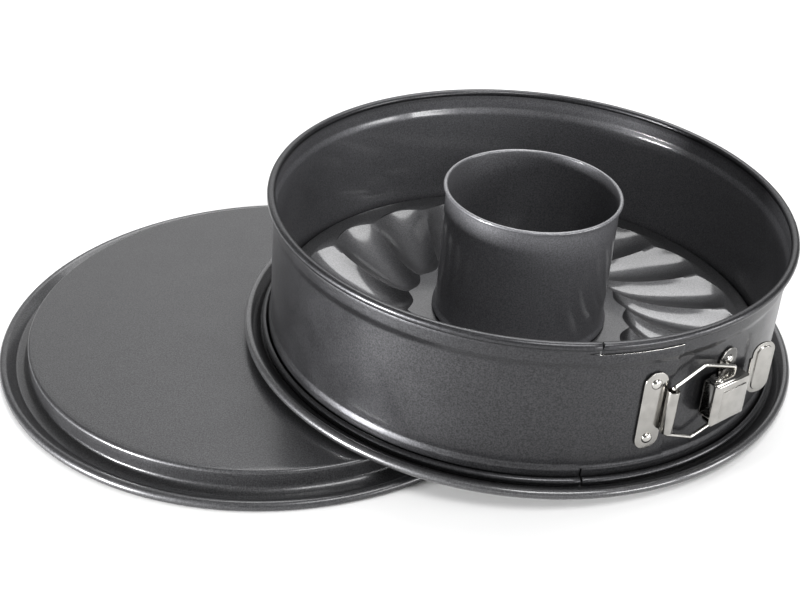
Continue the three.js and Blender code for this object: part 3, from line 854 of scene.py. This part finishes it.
def makeLever():
    form = leverForm
    left, right, half = form["left"], form["right"], form["half"]
    neck, face = form["neckHalf"], form["face"]
    start, end = form["tabStart"], form["tabEnd"]
    lever = startSheet("latchLever", left, right, -half, half, face)
    for side in (1, -1):
        bpy.ops.mesh.select_all(action="SELECT")
        bpy.ops.mesh.bisect(plane_co=(0, 0, side * neck * mm), plane_no=(0, 0, 1))
    pickParts("EDGE", lambda at: at.x > right - near and abs(at.z) < neck - wellIn)
    middle = [outAt(right, face, 0), outAt(*start, 0), outAt(*end, 0)]
    path = bentPath(middle, form["tabBend"], form["bendSteps"])
    for here, there in zip(path, path[1:]):
        pullOut(there - here)
    tabLeft = path[-2].x
    pastBend = tabLeft + 1
    for side in (1, -1):  # the tab is taller than its neck
        pickParts("EDGE", lambda at: at.x > pastBend and abs(at.z - side * neck) < near)
        pullOut((0, 0, side * (form["tabHalf"] - neck)))
    for side in (1, -1):  # cheeks fold back towards the wall
        pickParts("EDGE", lambda at: abs(at.z - side * half) < near and at.x < right
                  and abs(at.y + face) < near)
        pullOut(outAt(0, form["cheekFoot"] - face, 0))
    pickParts("EDGE", lambda at: at.x < left + near and abs(at.y + face) < near and abs(at.z) < half - near)
    pullOut(outAt(form["lip"][0], form["lip"][1], 0))
    pickParts("VERT", lambda at: at.x > tabLeft - near and abs(at.z) > form["tabHalf"] - near)
    roundCorners(form["tabCorner"], form["tabSteps"])
    pickParts("VERT", lambda at: at.x < left + near and abs(at.y + form["cheekFoot"]) < near)
    roundCorners(form["cheekCorner"], form["cheekSteps"])
    pickParts("EDGE", lambda at: abs(at.y + face) < near and (
        abs(abs(at.z) - half) < near
        or (abs(at.x - right) < near and abs(at.z) < neck - wellIn)
        or (abs(at.x - left) < near)))
    bpy.ops.mesh.bevel(offset=form["fold"] * mm, segments=3, affect="EDGES")
    raised = Vector(outAt(0, form["emboss"], 0)) * mm
    margin = form["margin"] + form["fold"]
    cuts = ((left + margin, 0, (1, 0, 0)), (right - form["margin"], 0, (1, 0, 0)),
            (0, half - margin, (0, 0, 1)), (0, margin - half, (0, 0, 1)))
    for along, up, way in cuts:  # outlines the raised panel on the face
        pickParts("FACE", lambda at: left + form["fold"] - wellIn < at.x < right
                  and abs(at.y + face) < nearer)
        bpy.ops.mesh.bisect(plane_co=Vector(outAt(along, face, up)) * mm, plane_no=way)
    pickParts("FACE", lambda at: left + margin < at.x < right - form["margin"] and abs(at.z) < half - margin
              and abs(at.y + face) < nearer)
    bpy.ops.mesh.inset(thickness=form["embossSlope"] * mm, depth=0)
    bpy.ops.transform.translate(value=raised)
    pickParts("FACE", lambda at: at.x > pastBend)
    bpy.ops.mesh.inset(thickness=form["margin"] * mm, depth=0)
    bpy.ops.mesh.inset(thickness=form["embossSlope"] * mm, depth=0)
    bpy.ops.transform.translate(value=raised)
    bpy.ops.mesh.select_all(action="SELECT")
    bpy.ops.mesh.remove_doubles(threshold=weldGap)
    bpy.ops.mesh.normals_make_consistent(inside=False)
    thicken(lever, form["sheet"])
    softenEdges(lever, latchForm["thinEdge"], 2, form["sharp"])
    smoothFaces(lever, latchSmooth)
    lever.data.materials.append(platePlating)
    # the lever's inward faces get the darker plating as painted shade
    shadeInside(lever, lambda at, out: at.x < right and (
        out.y > facing or out.z * at.z < -facing * abs(at.z)))
    hangOnWall(lever, latchForm["lever"], latchForm["wall"], latchForm["height"])
    fitPiece(lever, "lever", "lever", platePlating)


makeLever()

pinForm = {
    "radius": 1.5, "head": 2.2, "seat": 11.1, "rim": 0.2, "crown": 0.9, "steps": 28,
    "dome": (90, 70, 50, 30, 14, 0),
}


def makePin():
    radius, head, seat = pinForm["radius"], pinForm["head"], pinForm["seat"]
    rim, crown = seat + pinForm["rim"], pinForm["crown"]
    dome = [
        (head * math.cos(math.radians(angle)), rim + crown * math.sin(math.radians(angle)))
        for angle in pinForm["dome"]
    ]
    half = dome + [(head, seat), (radius, seat)]
    section = half + [(along, -up) for along, up in reversed(half)]
    pin = drawLine("leverPin", [(along, 0, up) for along, up in section])
    spinSheet(360, pinForm["steps"])
    smoothFaces(pin, turnedSmooth)
    pivot = latchPoint("pivot", latchForm["bracket"], latchForm["wall"])
    setPlace(pin, outAt(pivot[0], pivot[1], 0), (0, 0, 0))
    hangOnWall(pin, latchForm["bracket"], latchForm["wall"], latchForm["height"])
    fitPiece(pin, "ring", "lever_pin", wirePlating)


makePin()

# plain pale floor, white surround: large soft lights behind, smaller ones in front and at the sides
studio = {
    "floor": 6.0, "floorDrop": 0.0002, "floorTone": (0.64, 0.68), "floorGloss": 0.8, "fibre": 12.0,
    "surround": 0.25,
    "panels": {  # place, what it points at, size and power
        "keyPanel": ((0.30, 0.64, 1.32), (0.05, 0.0, 0.0), (1.25, 0.8), 23),
        "backPanel": ((-0.1, 1.6, 0.9), (0.0, 0.0, 0.0), (2.6, 0.8), 8),
        "frontPanel": ((0.38, -0.66, 1.05), (0.06, 0.1, 0.06), (0.6, 0.4), 10),
        "leftPanel": ((-1.17, -0.68, 0.16), (0.0, -0.05, 0.04), (0.4, 0.22), 76),
        "cornerPanel": ((0.85, -0.8, 0.14), (0.1, -0.1, 0.03), (0.5, 0.2), 6),
        "rightPanel": ((1.4, -0.35, 0.35), (0.1, 0.0, 0.04), (0.5, 0.5), 10),
    },
}


def makeStudio():
    clearPick()
    bpy.ops.mesh.primitive_plane_add(size=studio["floor"], location=(0, 0, -studio["floorDrop"]))
    floor = bpy.context.object
    floor.name = "studioFloor"
    bpy.ops.object.transform_apply(location=True, rotation=True, scale=True)
    paper = bpy.data.materials.new("floorPaper")
    paper.use_nodes = True
    surface = paper.node_tree.nodes["Principled BSDF"]
    surface.inputs["Roughness"].default_value = studio["floorGloss"]
    place = addNode(paper, "ShaderNodeTexCoord", (-800, 0))
    fibre = addNode(paper, "ShaderNodeTexNoise", (-600, 0), Scale=studio["fibre"], Detail=2.0)
    tone = addNode(paper, "ShaderNodeValToRGB", (-350, 0))
    for step, grey in zip(tone.color_ramp.elements, studio["floorTone"]):
        step.color = (grey, grey, grey, 1)
    paper.node_tree.links.new(place.outputs["Object"], fibre.inputs["Vector"])
    paper.node_tree.links.new(fibre.outputs["Fac"], tone.inputs["Fac"])
    paper.node_tree.links.new(tone.outputs["Color"], surface.inputs["Base Color"])
    floor.data.materials.append(paper)
    for name, (spot, target, size, power) in studio["panels"].items():
        bpy.ops.object.light_add(type="AREA", location=spot)
        light = bpy.context.object
        light.name = name
        light.data.shape = "RECTANGLE"
        light.data.size, light.data.size_y = size
        light.data.energy = power
        aim = Vector(target) - Vector(spot)
        light.rotation_euler = aim.to_track_quat("-Z", "Y").to_euler()
    world = bpy.data.worlds.new("studioSurround")
    world.use_nodes = True
    surround = world.node_tree.nodes["Background"]
    surround.inputs["Color"].default_value = (1, 1, 1, 1)
    surround.inputs["Strength"].default_value = studio["surround"]
    bpy.context.scene.world = world


makeStudio()
bpy.context.scene.view_settings.view_transform = "Standard"
print("studio made")

clearPick()
